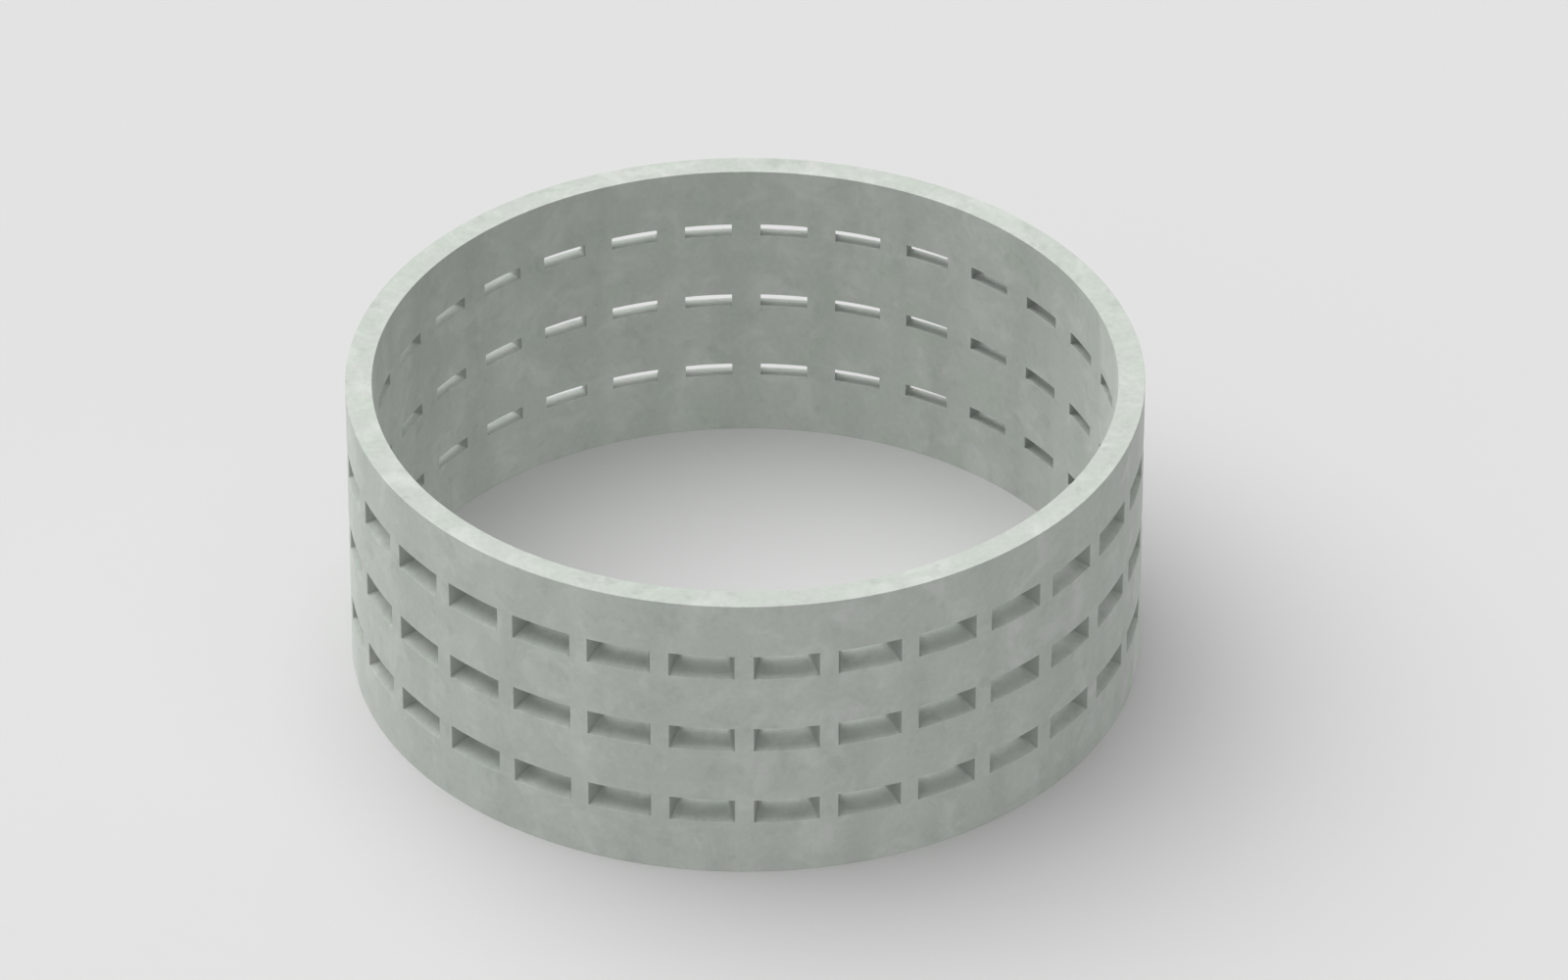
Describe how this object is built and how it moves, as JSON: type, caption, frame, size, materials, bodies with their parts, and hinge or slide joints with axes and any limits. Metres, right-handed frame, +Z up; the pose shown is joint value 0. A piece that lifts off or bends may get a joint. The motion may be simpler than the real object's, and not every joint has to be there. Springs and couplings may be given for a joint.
{
  "type": "slotted concrete ring",
  "caption": "Short round precast concrete ring, open at both ends, with rows of tapered drainage slots through its wall.",
  "frame": {"origin": "centre of the ring in the plane of its flat underside, on the ground it stands on", "axes": "+Z up along the ring's axis, +X through the middle of one slot of each row"},
  "size_m": [3.048, 3.048, 1.2192],
  "materials": {
    "concrete": "smooth cast concrete"
  },
  "bodies": {
    "root": {"slotted_ring": "concrete"}
  },
  "joints": []
}
